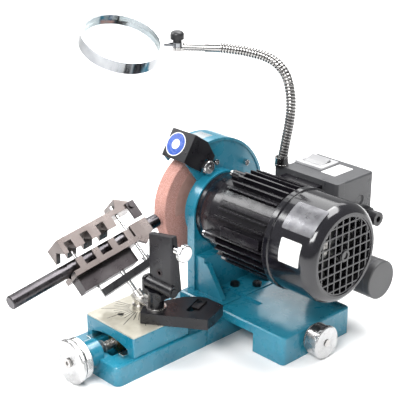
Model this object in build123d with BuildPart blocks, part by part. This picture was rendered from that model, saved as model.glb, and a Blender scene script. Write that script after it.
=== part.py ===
"""Bench drill bit sharpener: cast bed, motor carriage, grinding wheel, drill holder and magnifier.

The pieces are drawn about the motor shaft: X runs along it toward the fan end, Y away from the
operator, Z up, with the shaft above the origin. finish() moves each one to the row's origin, which is
under the shaft on the bed's centre line, on the resting plane. Millimetres throughout.
"""

from build123d import *
from math import cos, radians, sin, sqrt, tan
import os

os.makedirs("parts", exist_ok=True)

# ---- driving dimensions -------------------------------------------------------------------
AXIS_Z = 121.0  # motor shaft above the resting plane
BED_X0, BED_X1 = -88.0, -5.0
BED_Y0, BED_Y1 = -206.0, 54.0
BED_H = 22.0
RAIL_TOP = BED_H + 3
FEED_X, FEED_Z, FEED_R = (BED_X0 + BED_X1) / 2, 24.0, 5.0  # table feed screw, along Y
CROSS_Y, CROSS_Z, CROSS_R = -8.0, 18.5, 4.0  # carriage feed screw, along X
SLAB_X0, SLAB_X1, SLAB_Y = -76.0, 82.0, 54.0
SLAB_Z0, SLAB_Z1 = 22.1, 32.3
LEG_X0 = 38.0
PLATE_X0, PLATE_X1, ARCH_R = -75.0, -64.0, 43.0  # arched wall that the motor is bolted to
WHEEL_R, WHEEL_X0, WHEEL_X1, WHEEL_BORE = 62.5, -109.0, -91.0, 10.0
DRUM_R, COVER_DISC_R, DRUM_X0, DRUM_X1 = 78.3, 75.0, -112.0, -79.0
GUARD_FROM, GUARD_TO = -70.0, 126.0  # the guard's sweep round the shaft, degrees
HOUSING_X0, HOUSING_X1 = -28.0, 48.0
BORE_R, BARREL_R, FIN_R = 42.0, 47.0, 54.0
FIN_ANGLES = (3, 14, 24, 62, 72.5, 83, 93.5, 104, 114.5, 124.5, 151.6, 161.5, 184, 193.5,
              *range(204, 358, 10))
LUG_ANGLES, LUG_R = (9, 99, 189, 279), 50.5
COVER_R, COVER_X0, COVER_X1 = 54.5, 50.0, 114.0
COVER_SCREW_ANGLES = (115, 235, 355)
SHAFT_R, BEARING_R, BEARING_W = 7.5, 17.5, 11.0
FIT = 0.05  # radial clearance of a running fit
TABLE_X0, TABLE_X1, TABLE_Y0, TABLE_Y1 = -85.0, -8.0, -181.0, -104.0
TABLE_TOP = 46.0
BOX_X0, BOX_X1, BOX_Y0, BOX_Y1, BOX_Z0, BOX_Z1 = -20.0, 61.0, 60.0, 110.0, 110.0, 170.0
WALL = 2.5
CAP_Y, CAP_Z, CAP_R = 75.0, 65.0, 22.0

# drill holder frame: s along the drill toward its tip, w the way the jaws close, h out of their face
TIP = Vector(-100.0, -62.0, 115.0)
DRILL_RISE = 9.3
DRILL_R, DRILL_LENGTH, TIP_GAP = 7.5, 205.0, 1.2
JAW_HALF, JAW_PITCH = 15.0, 22.0
TOOTH_LOW, TOOTH_HIGH = 8.4, 12.0
ROD_S, ROD_H, ROD_R = -76.2, -3.1, 3.0
BAR_ANGLE = 22.0
PIN_S, PIN_H, PIN_R = -49.5, 9.8, 1.9
BACK_PIN_S = -109.3
along = Vector(0, cos(radians(DRILL_RISE)), sin(radians(DRILL_RISE)))
upright = Vector(0, -sin(radians(DRILL_RISE)), cos(radians(DRILL_RISE)))
outward = (Vector(1, 0, 0) + upright) * (1 / sqrt(2))
closing = (Vector(1, 0, 0) - upright) * (1 / sqrt(2))

# bracket on the table
PIVOT = (-55.0, -132.0)
COLUMN = (-26.0, -134.0)
COLUMN_R = 8.5
BARREL_Y, BARREL_Z, BARREL_PIN_R = -134.0, 85.0, 4.0

# gooseneck and magnifier
NECK = ((-21.9, 51, 172), (-16.5, 51, 201), (-12.8, 51.2, 219), (-9.7, 50.5, 240), (-11.8, 49.5, 261),
        (-17.6, 49, 275), (-28.2, 47.5, 285), (-41.6, 46, 290), (-57.7, 42.5, 292), (-76, 38, 293))
NECK_R = 5.6
STEM_START = Vector(-98.5, 31.0, 292.4)
STEM_DIR = Vector(-0.748, -0.663, 0.008).normalized()
LENS_CENTRE = Vector(-161.0, -60.0, 302.5)
LENS_NORMAL = Vector(0.40, -0.05, 0.91).normalized()
RING_R, LENS_R = 46.0, 42.6
LOW = (Align.CENTER, Align.CENTER, Align.MIN)
TO_ROW = Location((-FEED_X, 0, 0))


def rod_x(x0, x1, y, z, r, mode=Mode.ADD):
    """A cylinder along X in the part being built."""
    with Locations(Location((x0, y, z), (0, 90, 0))):
        Cylinder(r, x1 - x0, align=LOW, mode=mode)


def rod_y(y0, y1, x, z, r, mode=Mode.ADD):
    """A cylinder along Y in the part being built."""
    with Locations(Location((x, y0, z), (-90, 0, 0))):
        Cylinder(r, y1 - y0, align=LOW, mode=mode)


def rod_z(z0, z1, x, y, r, mode=Mode.ADD):
    """A cylinder along Z in the part being built."""
    with Locations((x, y, z0)):
        Cylinder(r, z1 - z0, align=LOW, mode=mode)


def block(x0, x1, y0, y1, z0, z1, mode=Mode.ADD):
    """A box between two corners in the part being built."""
    with Locations(((x0 + x1) / 2, (y0 + y1) / 2, (z0 + z1) / 2)):
        Box(x1 - x0, y1 - y0, z1 - z0, mode=mode)


def about_shaft(r, angle):
    """The Y and Z of a point round the motor shaft."""
    return (r * cos(radians(angle)), AXIS_Z + r * sin(radians(angle)))


def sector(r0, r1, a0, a1, x0, x1):
    """A ring sector round the shaft, added to the part being built."""
    with BuildSketch(Plane.YZ.offset(x0)) as profile:
        with BuildLine():
            CenterArc((0, AXIS_Z), r1, a0, a1 - a0)
            CenterArc((0, AXIS_Z), r0, a0, a1 - a0)
            Line(about_shaft(r0, a0), about_shaft(r1, a0))
            Line(about_shaft(r0, a1), about_shaft(r1, a1))
        make_face()
    extrude(profile.sketch, amount=x1 - x0)


def radial(x, angle, r0, r1, r, mode=Mode.ADD):
    """A cylinder pointing out from the shaft in the part being built."""
    with Locations(Location((x, 0, AXIS_Z), (angle - 90, 0, 0)) * Location((0, 0, r0))):
        Cylinder(r, r1 - r0, align=LOW, mode=mode)


def at(s, w, h):
    """A point of the drill holder's frame."""
    return TIP + along * s + closing * w + outward * h


FACE = Plane(origin=TIP, x_dir=along, z_dir=outward)  # its local y points against the closing way


def jaw_box(s0, s1, w0, w1, h0, h1, mode=Mode.ADD):
    """A box in the drill holder's frame."""
    with Locations(FACE.location * Location(((s0 + s1) / 2, -(w0 + w1) / 2, (h0 + h1) / 2))):
        Box(s1 - s0, w1 - w0, h1 - h0, mode=mode)


def jaw_rod(s, h, w0, w1, r, mode=Mode.ADD):
    """A cylinder along the closing way in the drill holder's frame."""
    with Locations(Plane(origin=at(s, w0, h), x_dir=along, z_dir=closing).location):
        Cylinder(r, w1 - w0, align=LOW, mode=mode)


def across(s):
    """A plane square to the drill: its x is h and its y is w."""
    return Plane(origin=at(s, 0, 0), x_dir=outward, z_dir=along)


def finish(piece, name):
    """Moves a finished piece to the row's origin, labels it and writes its file."""
    placed = piece.part.moved(TO_ROW)
    placed.label = name
    export_step(placed, f"parts/{name}.step")


# ---- bed ----------------------------------------------------------------------------------
with BuildPart() as bed_casting:
    block(BED_X0, BED_X1, BED_Y0, BED_Y1, 0, BED_H)
    fillet(bed_casting.edges().filter_by(Axis.Z).group_by(Axis.Y)[0], 7)
    fillet(bed_casting.edges().filter_by(Axis.Z).group_by(Axis.Y)[-1], 4)
    chamfer(bed_casting.faces().sort_by(Axis.Z)[-1].edges(), 1)
    rod_y(-219, -200, FEED_X, FEED_Z, 14)
    block(-64, -29, -192.5, -66, 6, 40, mode=Mode.SUBTRACT)
    rod_y(-220, -190, FEED_X, FEED_Z, FEED_R + FIT, mode=Mode.SUBTRACT)
    block(-34, -14, -18, 2, 8, BED_H + 1, mode=Mode.SUBTRACT)
    rod_x(-72, BED_X1 + 1, CROSS_Y, CROSS_Z, 4.6, mode=Mode.SUBTRACT)
    block(BED_X1 - 0.8, BED_X1 + 1, -81, -79.6, -1, BED_H + 1, mode=Mode.SUBTRACT)
finish(bed_casting, "bed_casting")

with BuildPart() as bed_ways:
    for x0 in (-76, -25):
        block(x0, x0 + 8, -188, -62, BED_H, RAIL_TOP)
    block(-86, -7, 18, 34, BED_H, BED_H + 4.6)
finish(bed_ways, "bed_ways")

with BuildPart() as cross_nut:
    block(-34, -14, -18, 2, 8, 24.5)
    rod_x(-35, -13, CROSS_Y, CROSS_Z, CROSS_R + FIT, mode=Mode.SUBTRACT)
finish(cross_nut, "cross_nut")

# ---- table feed ---------------------------------------------------------------------------
with BuildPart() as table_screw:
    rod_y(-237, -110, FEED_X, FEED_Z, FEED_R)
    rod_y(-192.4, -190.6, FEED_X, FEED_Z, 8)
    with BuildSketch(Plane.XZ.offset(234)):
        with Locations((FEED_X, FEED_Z)):
            RegularPolygon(2.6, 6)
    extrude(amount=4, mode=Mode.SUBTRACT)
finish(table_screw, "table_screw")

with BuildPart() as table_knob:
    rod_y(-234.5, -229, FEED_X, FEED_Z, 23.5)
    chamfer(table_knob.edges().filter_by(GeomType.CIRCLE), 0.9)
    rod_y(-229, -227.4, FEED_X, FEED_Z, 20)
    rod_y(-227.4, -219.5, FEED_X, FEED_Z, 22)
    chamfer(table_knob.edges().group_by(Axis.Y)[-1], 0.8)
    rod_y(-236, -219, FEED_X, FEED_Z, FEED_R, mode=Mode.SUBTRACT)
finish(table_knob, "table_knob")

# ---- table --------------------------------------------------------------------------------
with BuildPart() as table_block:
    block(TABLE_X0, TABLE_X1, TABLE_Y0, TABLE_Y1, BED_H + 0.1, TABLE_TOP - 1.5)
    fillet(table_block.edges().filter_by(Axis.Z), 2)
    for x0 in (-76, -25):
        block(x0 - FIT, x0 + 8 + FIT, TABLE_Y0 - 1, TABLE_Y1 + 1, BED_H, RAIL_TOP + FIT, mode=Mode.SUBTRACT)
    block(-60, -33, TABLE_Y0 - 1, TABLE_Y1 + 1, BED_H, 33, mode=Mode.SUBTRACT)
    with BuildSketch(Plane.XZ.offset(-TABLE_Y0 + 1)):
        with BuildLine():
            ThreePointArc((-76, 29), (-47, 34.5), (-18, 29))
            Polyline((-18, 29), (-18, BED_H), (-76, BED_H), (-76, 29))
        make_face()
    extrude(amount=-13, mode=Mode.SUBTRACT)
    rod_z(36, 47, -58, -156, 3.2, mode=Mode.SUBTRACT)
finish(table_block, "table_block")

with BuildPart() as table_plate:
    block(TABLE_X0 + 0.5, TABLE_X1 - 0.5, TABLE_Y0 + 0.5, TABLE_Y1 - 0.5, TABLE_TOP - 1.5, TABLE_TOP)
    fillet(table_plate.edges().filter_by(Axis.Z), 2)
    rod_z(44, 47, -58, -156, 3.6, mode=Mode.SUBTRACT)
finish(table_plate, "table_plate")

with BuildPart() as table_nut:
    block(-56, -37, -175, -157, 16, 33)
    chamfer(table_nut.edges().filter_by(Axis.Y), 2)
    rod_y(-176, -156, FEED_X, FEED_Z, FEED_R + FIT, mode=Mode.SUBTRACT)
finish(table_nut, "table_nut")

# ---- motor carriage -----------------------------------------------------------------------
with BuildPart() as motor_base:
    block(SLAB_X0, SLAB_X1, -SLAB_Y, SLAB_Y, SLAB_Z0, SLAB_Z1)
    block(LEG_X0, SLAB_X1, -SLAB_Y, SLAB_Y, 0.3, SLAB_Z0)
    fillet(motor_base.edges().filter_by(Axis.Z).group_by(Axis.X)[-1], 5)
    chamfer(motor_base.faces().sort_by(Axis.Z)[-1].edges(), 1.5)
    block(-16, 76, -48, 48, SLAB_Z1 - 1.2, SLAB_Z1 + 1, mode=Mode.SUBTRACT)
    block(PLATE_X0, -51, -40, 40, SLAB_Z1 - 2, 75)
    block(PLATE_X0, PLATE_X1, -ARCH_R, ARCH_R, SLAB_Z1 - 2, AXIS_Z)
    rod_x(PLATE_X0, PLATE_X1, 0, AXIS_Z, ARCH_R)
    for y in (-34, 40):
        with BuildSketch(Plane.XZ.offset(-y)):
            Polygon((-52, 31), (-23, 31), (-23, 34), (-47, 69), (-52, 69), align=None)
        extrude(amount=6)
    rod_x(PLATE_X0 - 1, -50, 0, AXIS_Z, 22, mode=Mode.SUBTRACT)
    block(46, 74, -46, 46, 0, 19, mode=Mode.SUBTRACT)
    rod_x(LEG_X0 - 1, 74, CROSS_Y, CROSS_Z, 6, mode=Mode.SUBTRACT)
    rod_x(73, SLAB_X1 + 1, CROSS_Y, CROSS_Z, CROSS_R + FIT, mode=Mode.SUBTRACT)
    block(SLAB_X0 - 1, LEG_X0, -19, 3, SLAB_Z0 - 1, 25.3, mode=Mode.SUBTRACT)
    block(SLAB_X0 - 1, LEG_X0, 18 - FIT, 34 + FIT, SLAB_Z0 - 1, 27.3, mode=Mode.SUBTRACT)
    block(-40, 10, -17, -9, SLAB_Z1 - 4, SLAB_Z1 + 1, mode=Mode.SUBTRACT)
finish(motor_base, "motor_base")

with BuildPart() as base_bolts:
    for x, y in ((-41, -1), (-24, 17.5)):
        with BuildSketch(Plane.XY.offset(SLAB_Z1)):
            with Locations((x, y)):
                RegularPolygon(5.6, 6)
        extrude(amount=4.2)
        rod_z(SLAB_Z1, SLAB_Z1 + 5, x, y, 3.6)
finish(base_bolts, "base_bolts")

with BuildPart() as cross_screw:
    rod_x(-62, 103, CROSS_Y, CROSS_Z, CROSS_R)
finish(cross_screw, "cross_screw")

with BuildPart() as cross_dial:
    rod_x(82.3, 86, CROSS_Y, CROSS_Z, 15)
    rod_x(82, 87, CROSS_Y, CROSS_Z, CROSS_R, mode=Mode.SUBTRACT)
finish(cross_dial, "cross_dial")

with BuildPart() as cross_knob:
    rod_x(86, 97, CROSS_Y, CROSS_Z, 17.5)
    rod_x(97, 102, CROSS_Y, CROSS_Z, 18.2)
    chamfer(cross_knob.edges().group_by(Axis.X)[-1], 0.9)
    rod_x(85, 103, CROSS_Y, CROSS_Z, CROSS_R, mode=Mode.SUBTRACT)
finish(cross_knob, "cross_knob")

# ---- wheel guard --------------------------------------------------------------------------
with BuildPart() as guard_cover:
    rod_x(DRUM_X1, PLATE_X0, 0, AXIS_Z, ARCH_R)
    sector(30, COVER_DISC_R, GUARD_FROM, GUARD_TO, DRUM_X1, PLATE_X0 - 1.8)
    rod_x(DRUM_X1 - 1, PLATE_X0 + 1, 0, AXIS_Z, 24, mode=Mode.SUBTRACT)
finish(guard_cover, "guard_cover")

with BuildPart() as wheel_guard:
    sector(COVER_DISC_R, DRUM_R, GUARD_FROM, GUARD_TO, DRUM_X0, PLATE_X0 - 0.5)
    sector(66, COVER_DISC_R + 1, GUARD_FROM, GUARD_TO, DRUM_X0, DRUM_X0 + 2)
finish(wheel_guard, "wheel_guard")

STUD = (-17.9, 173.0)
FOLD_TOP, FOLD_FOOT = (-31.6, 212.2), (-49.5, 184.5)
fold = Vector(0, FOLD_FOOT[0] - FOLD_TOP[0], FOLD_FOOT[1] - FOLD_TOP[1]).normalized()
flap = Plane(origin=(PLATE_X0 + 1.7, *FOLD_TOP), x_dir=(-1, 0, 0), z_dir=Vector(-1, 0, 0).cross(fold))
with BuildPart() as spark_guard:
    with BuildSketch(Plane.YZ.offset(PLATE_X0 + 0.2)):
        Polygon(FOLD_TOP, (-13.4, 199.8), (-2.5, 181), (-10, 167), (-20, 165), (-38, 176), FOLD_FOOT, align=None)
    extrude(amount=1.5)
    with BuildSketch(flap):
        with Locations((18, 16.5)):
            RectangleRounded(36, 33, 2)
    extrude(amount=-1.5)
    with BuildSketch(Plane(origin=(PLATE_X0, *STUD), x_dir=fold, z_dir=(1, 0, 0))):
        SlotOverall(16, 6.4)
    extrude(amount=3, mode=Mode.SUBTRACT)
finish(spark_guard, "spark_guard")

with BuildPart() as guard_knob:
    rod_x(PLATE_X0 + 4.6, PLATE_X0 + 10, *STUD, 7.5)
    chamfer(guard_knob.edges().filter_by(GeomType.CIRCLE), 0.7)
    rod_x(PLATE_X0 + 2.1, PLATE_X0 + 4.6, *STUD, 5)
    rod_x(PLATE_X0, PLATE_X0 + 11, *STUD, 2.7)
finish(guard_knob, "guard_knob")

# ---- motor, fixed pieces ------------------------------------------------------------------
with BuildPart() as front_shield:
    with BuildSketch(Plane.XZ):
        with BuildLine():
            Polyline((-70, AXIS_Z + 10), (-70, AXIS_Z + 21.9), (PLATE_X1, AXIS_Z + 21.9),
                     (PLATE_X1, AXIS_Z + 41), (-58, AXIS_Z + 41), (-50, AXIS_Z + 44),
                     (-40, AXIS_Z + 46.4), (HOUSING_X0, AXIS_Z + BARREL_R), (HOUSING_X0, AXIS_Z + 43),
                     (-46, AXIS_Z + 40.5), (-55, AXIS_Z + 33), (-55, AXIS_Z + BEARING_R),
                     (-66, AXIS_Z + BEARING_R), (-66, AXIS_Z + 10), (-70, AXIS_Z + 10))
        make_face()
    revolve(axis=Axis((0, 0, AXIS_Z), (1, 0, 0)))
    for angle in LUG_ANGLES:
        rod_x(-37, HOUSING_X0, *about_shaft(LUG_R, angle), 4.8)
        rod_x(-38, HOUSING_X0 + 1, *about_shaft(LUG_R, angle), 2.2, mode=Mode.SUBTRACT)
finish(front_shield, "front_shield")

with BuildPart() as motor_housing:
    rod_x(HOUSING_X0, HOUSING_X1, 0, AXIS_Z, BARREL_R)
    with BuildSketch(Plane.YZ.offset(HOUSING_X0 + 2)):
        for angle in FIN_ANGLES:
            with Locations(Location((0, AXIS_Z, 0), (0, 0, angle))):
                with Locations(((BARREL_R - 1 + FIN_R) / 2, 0)):
                    Rectangle(FIN_R - BARREL_R + 1, 1.9)
    extrude(amount=HOUSING_X1 - HOUSING_X0 - 4)
    sector(46, 50.8, 127, 140.3, -26, 46)
    sector(46, 50.8, 141.7, 147.5, -26, 46)
    sector(46, 49.5, 140, 142, -26, 46)
    sector(46, 53.5, 170, 182, -13, 42)
    for angle in LUG_ANGLES:
        rod_x(HOUSING_X0, -20, *about_shaft(LUG_R, angle), 4.8)
        rod_x(HOUSING_X0 - 1, -22, *about_shaft(LUG_R, angle), 2.2, mode=Mode.SUBTRACT)
    block(-12, 40, 30, 48, 152, 164)
    rod_x(HOUSING_X0 - 1, HOUSING_X1 + 1, 0, AXIS_Z, BORE_R, mode=Mode.SUBTRACT)
finish(motor_housing, "motor_housing")

with BuildPart() as cap_screws:
    for angle in LUG_ANGLES:
        rod_x(-37, -23, *about_shaft(LUG_R, angle), 2.2)
        rod_x(-41, -37, *about_shaft(LUG_R, angle), 3.4)
        rod_x(-42, -39, *about_shaft(LUG_R, angle), 1.8, mode=Mode.SUBTRACT)
    for angle, r in ((91, 52.3), (40, 62), (-20, 62)):
        rod_x(PLATE_X0, PLATE_X0 + 4, *about_shaft(r, angle), 3.4)
        rod_x(PLATE_X0 + 2, PLATE_X0 + 5, *about_shaft(r, angle), 1.8, mode=Mode.SUBTRACT)
finish(cap_screws, "cap_screws")

with BuildPart() as stator_core:
    with BuildSketch(Plane.YZ.offset(-20)):
        with Locations((0, AXIS_Z)):
            Circle(BORE_R)
            Circle(28, mode=Mode.SUBTRACT)
            with PolarLocations(33, 24):
                Rectangle(7, 2.6, mode=Mode.SUBTRACT)
    extrude(amount=56)
finish(stator_core, "stator_core")

with BuildPart() as stator_windings:
    for x0, x1 in ((-33, -20), (36, 46)):
        rod_x(x0, x1, 0, AXIS_Z, 38)
    fillet(stator_windings.edges().filter_by(GeomType.CIRCLE), 3)
    rod_x(-34, 47, 0, AXIS_Z, 29.5, mode=Mode.SUBTRACT)
finish(stator_windings, "stator_windings")

with BuildPart() as bearings:
    for x in (-66, 51):
        rod_x(x, x + BEARING_W, 0, AXIS_Z, BEARING_R)
        rod_x(x - 1, x + BEARING_W + 1, 0, AXIS_Z, SHAFT_R + FIT, mode=Mode.SUBTRACT)
finish(bearings, "bearings")

with BuildPart() as rear_shield:
    rod_x(HOUSING_X1, 56, 0, AXIS_Z, 54.2)
    rod_x(56, 64, 0, AXIS_Z, 21)
    rod_x(HOUSING_X1 - 1, 51 + BEARING_W, 0, AXIS_Z, BEARING_R, mode=Mode.SUBTRACT)
    rod_x(61, 65, 0, AXIS_Z, 10, mode=Mode.SUBTRACT)
    for angle in COVER_SCREW_ANGLES:
        radial(53, angle, 48, 56, 1.9, mode=Mode.SUBTRACT)
finish(rear_shield, "rear_shield")

with BuildPart() as fan_cover:
    with BuildSketch(Plane.XZ):
        with BuildLine():
            Polyline((99, AXIS_Z + 51.6), (56, AXIS_Z + 51.6), (56, AXIS_Z + 54.3), (COVER_X0, AXIS_Z + 54.3),
                     (COVER_X0, AXIS_Z + 56), (56, AXIS_Z + 56), (56.6, AXIS_Z + COVER_R),
                     (100, AXIS_Z + COVER_R))
            ThreePointArc((100, AXIS_Z + COVER_R), (109.6, AXIS_Z + 51.4), (COVER_X1, AXIS_Z + 46))
            Polyline((COVER_X1, AXIS_Z + 46), (COVER_X1, AXIS_Z), (COVER_X1 - 3, AXIS_Z),
                     (COVER_X1 - 3, AXIS_Z + 45))
            ThreePointArc((COVER_X1 - 3, AXIS_Z + 45), (107, AXIS_Z + 49.4), (99, AXIS_Z + 51.6))
        make_face()
    revolve(axis=Axis((0, 0, AXIS_Z), (1, 0, 0)))
    rod_x(COVER_X1 - 1, COVER_X1 + 1, 0, AXIS_Z, 43, mode=Mode.SUBTRACT)
    with BuildSketch(Plane.YZ.offset(COVER_X1 - 4)):
        with Locations((0, AXIS_Z)):
            with GridLocations(10, 10, 9, 9):
                Rectangle(8.2, 8.2)
            Circle(41.2, mode=Mode.INTERSECT)
            Circle(7, mode=Mode.SUBTRACT)
    extrude(amount=6, mode=Mode.SUBTRACT)
    rod_x(COVER_X1 - 2, COVER_X1 + 0.2, 0, AXIS_Z, 6)
    rod_x(COVER_X1 - 1, COVER_X1 + 1, 0, AXIS_Z, 3.6, mode=Mode.SUBTRACT)
    for angle in COVER_SCREW_ANGLES:
        radial(53, angle, 50, 58, 2.7, mode=Mode.SUBTRACT)
finish(fan_cover, "fan_cover")

with BuildPart() as cover_screws:
    for angle in COVER_SCREW_ANGLES:
        radial(53, angle, 49, 54.4, 1.85)
        radial(53, angle, 54.3, 55.9, 2.6)
finish(cover_screws, "cover_screws")

# ---- motor, turning pieces ----------------------------------------------------------------
with BuildPart() as rotor_shaft:
    rod_x(-124, 88, 0, AXIS_Z, SHAFT_R)
    chamfer(rotor_shaft.edges().group_by(Axis.X)[0], 1)
finish(rotor_shaft, "rotor_shaft")

with BuildPart() as rotor_core:
    rod_x(-20, 36, 0, AXIS_Z, 27.4)
    rod_x(-25, 41, 0, AXIS_Z, 23)
    rod_x(-26, 42, 0, AXIS_Z, SHAFT_R, mode=Mode.SUBTRACT)
finish(rotor_core, "rotor_core")

with BuildPart() as cooling_fan:
    rod_x(66, 84, 0, AXIS_Z, 13)
    rod_x(66, 68.5, 0, AXIS_Z, 44)
    with BuildSketch(Plane.YZ.offset(68)):
        with Locations((0, AXIS_Z)):
            with PolarLocations(27, 9):
                Rectangle(32, 2.2)
    extrude(amount=14)
    rod_x(65, 85, 0, AXIS_Z, SHAFT_R, mode=Mode.SUBTRACT)
finish(cooling_fan, "cooling_fan")

with BuildPart() as wheel_flanges:
    rod_x(WHEEL_X1, WHEEL_X1 + 8, 0, AXIS_Z, 25)
    rod_x(WHEEL_X0, WHEEL_X1, 0, AXIS_Z, WHEEL_BORE)
    rod_x(WHEEL_X0 - 4, WHEEL_X0, 0, AXIS_Z, 25)
    rod_x(WHEEL_X0 - 5, WHEEL_X1 + 9, 0, AXIS_Z, SHAFT_R, mode=Mode.SUBTRACT)
finish(wheel_flanges, "wheel_flanges")

with BuildPart() as grinding_wheel:
    rod_x(WHEEL_X0, WHEEL_X1, 0, AXIS_Z, WHEEL_R)
    chamfer(grinding_wheel.edges().filter_by(GeomType.CIRCLE), 0.7)
    rod_x(WHEEL_X0 - 1, WHEEL_X1 + 1, 0, AXIS_Z, WHEEL_BORE, mode=Mode.SUBTRACT)
finish(grinding_wheel, "grinding_wheel")

with BuildPart() as spindle_nut:
    with BuildSketch(Plane.YZ.offset(WHEEL_X0 - 13)):
        with Locations((0, AXIS_Z)):
            RegularPolygon(12.7, 6)
            Circle(SHAFT_R, mode=Mode.SUBTRACT)
    extrude(amount=9)
finish(spindle_nut, "spindle_nut")

# ---- switch box, capacitor ----------------------------------------------------------------
with BuildPart() as box_back:
    block(BOX_X0, BOX_X1, 57, BOX_Y0, BOX_Z0, BOX_Z1)
    block(-30, BOX_X1, 48, BOX_Y0, 150, BOX_Z1)
    fillet(box_back.edges().filter_by(Axis.Z).group_by(Axis.Y)[0], 3)
finish(box_back, "box_back")

with BuildPart() as box_lid:
    block(BOX_X0, BOX_X1, BOX_Y0, BOX_Y1, BOX_Z0, BOX_Z1)
    fillet(box_lid.edges().filter_by(Axis.Z).group_by(Axis.Y)[-1], 4)
    fillet(box_lid.edges().group_by(Axis.Z)[-1].group_by(Axis.Y)[-1], 2)
    block(BOX_X0 + WALL, BOX_X1 - WALL, BOX_Y0 - 1, BOX_Y1 - WALL, BOX_Z0 + WALL, BOX_Z1 - WALL,
          mode=Mode.SUBTRACT)
    block(-16, 17, 73, 96, BOX_Z1 - 5, BOX_Z1 + 1, mode=Mode.SUBTRACT)
    rod_x(BOX_X1 - 1, BOX_X1 + 1, 88, 142, 6, mode=Mode.SUBTRACT)
    rod_x(BOX_X1 - WALL - 1, BOX_X1 + 1, 98, 122, 6, mode=Mode.SUBTRACT)
finish(box_lid, "box_lid")

with BuildPart() as switch_bezel:
    block(-19, 20, 69, 100, BOX_Z1, BOX_Z1 + 2.5)
    fillet(switch_bezel.edges().filter_by(Axis.Z), 2)
    block(-16, 17, 73, 96, BOX_Z1 - 9, BOX_Z1)
    block(-13, 14, 75, 94, BOX_Z1 - 8, BOX_Z1 + 4, mode=Mode.SUBTRACT)
finish(switch_bezel, "switch_bezel")

with BuildPart() as switch_rocker:
    with BuildSketch(Plane.YZ.offset(-12.5)):
        Polygon((76.5, 172), (84.5, 172.8), (92.5, 175.5), (92.5, 171), (87, 165), (82, 165), (76.5, 169.5),
                align=None)
    extrude(amount=26)
    rod_x(-12.9, 13.9, 84.5, 168, 1.5)
finish(switch_rocker, "switch_rocker")

with BuildPart() as cable_gland:
    rod_x(BOX_X1 - WALL, BOX_X1, 98, 122, 6)
    with BuildSketch(Plane.YZ.offset(BOX_X1)):
        with Locations((98, 122)):
            RegularPolygon(10, 6)
    extrude(amount=7)
    rod_x(BOX_X1 + 7, BOX_X1 + 19, 98, 122, 8)
    rod_x(BOX_X1 - WALL - 1, BOX_X1 + 20, 98, 122, 3.6, mode=Mode.SUBTRACT)
finish(cable_gland, "cable_gland")

with BuildPart() as capacitor:
    rod_x(18, 106, CAP_Y, CAP_Z, CAP_R)
    fillet(capacitor.edges().filter_by(GeomType.CIRCLE), 1.5)
finish(capacitor, "capacitor")

with BuildPart() as capacitor_clip:
    rod_x(36, 52, CAP_Y, CAP_Z, CAP_R + 1.6)
    block(36, 52, 72, 78, 86, BOX_Z0)
    block(36, 52, 64, 86, BOX_Z0 - 2, BOX_Z0)
    rod_x(35, 53, CAP_Y, CAP_Z, CAP_R, mode=Mode.SUBTRACT)
finish(capacitor_clip, "capacitor_clip")

# ---- gooseneck and magnifier --------------------------------------------------------------
def bend_radii(points):
    """One bend radius for each inner point, as large as its two runs allow."""
    radii = []
    for a, b, c in zip(points, points[1:], points[2:]):
        turn = (b - a).get_angle(c - b)
        radii.append(0.45 * min((b - a).length, (c - b).length) / tan(radians(turn / 2)))
    return radii


with BuildPart() as neck_foot:
    rod_z(BOX_Z1, BOX_Z1 + 2, -22, 51, 8)
    rod_z(BOX_Z1 + 2, BOX_Z1 + 10, -22, 51, 7.4)
    rod_z(BOX_Z1 + 1, BOX_Z1 + 11, -22, 51, 5.8, mode=Mode.SUBTRACT)
finish(neck_foot, "neck_foot")

neck_points = [Vector(*point) for point in NECK] + [STEM_START]
with BuildPart() as gooseneck:
    with BuildLine() as neck_line:
        FilletPolyline(*neck_points, radius=bend_radii(neck_points))
    with BuildSketch(Plane(origin=neck_points[0], z_dir=neck_points[1] - neck_points[0])):
        Circle(NECK_R)
    sweep(path=neck_line.wires()[0])
finish(gooseneck, "gooseneck")


def stem_plane(t):
    """A plane square to the magnifier's stem, t from the end of the gooseneck."""
    return Plane(origin=STEM_START + STEM_DIR * t, x_dir=(0, 0, 1), z_dir=STEM_DIR)


pin = STEM_START + STEM_DIR * 48.5
with BuildPart() as magnifier_stem:
    for start, length, r in ((0, 18, 5.6), *((18 + 3 * k, 1, 3.8) for k in range(8)),
                             *((19 + 3 * k, 2, 4.8) for k in range(8))):
        with BuildSketch(stem_plane(start)):
            Circle(r)
        extrude(amount=length)
    with BuildSketch(stem_plane(42)):
        with Locations((-2.4, 0)):
            Rectangle(3, 7)
    extrude(amount=5)
    rod_z(pin.Z - 4, pin.Z - 0.1, pin.X, pin.Y, 5.4)
    rod_z(pin.Z - 6, pin.Z + 1, pin.X, pin.Y, 2 + FIT, mode=Mode.SUBTRACT)
finish(magnifier_stem, "magnifier_stem")

lens_plane = Plane(origin=LENS_CENTRE, x_dir=LENS_NORMAL.cross(Vector(0, 0, 1)), z_dir=LENS_NORMAL)
neck_start = pin + Vector(0, 0, 2.4)
reach = LENS_CENTRE - neck_start
with BuildPart() as magnifier_ring:
    with BuildSketch(lens_plane.offset(-7)):
        Circle(RING_R)
        Circle(LENS_R, mode=Mode.SUBTRACT)
    extrude(amount=14)
    with BuildSketch(Plane(origin=neck_start, x_dir=(0, 0, 1), z_dir=reach)):
        Circle(2.2)
    extrude(amount=reach.length - 44.6)
    rod_z(pin.Z + 0.1, pin.Z + 5, pin.X, pin.Y, 5.2)
    rod_z(pin.Z - 1, pin.Z + 6, pin.X, pin.Y, 2 + FIT, mode=Mode.SUBTRACT)
finish(magnifier_ring, "magnifier_ring")

DOME_R, DOME_MID = 240.7, 5.0
with BuildPart() as lens:
    with Locations(lens_plane.location):
        Cylinder(LENS_R, 12)
    for side in (-1, 1):
        with Locations(lens_plane.offset(side * (DOME_R - DOME_MID)).location):
            Sphere(DOME_R, mode=Mode.INTERSECT)
finish(lens, "lens")

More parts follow.
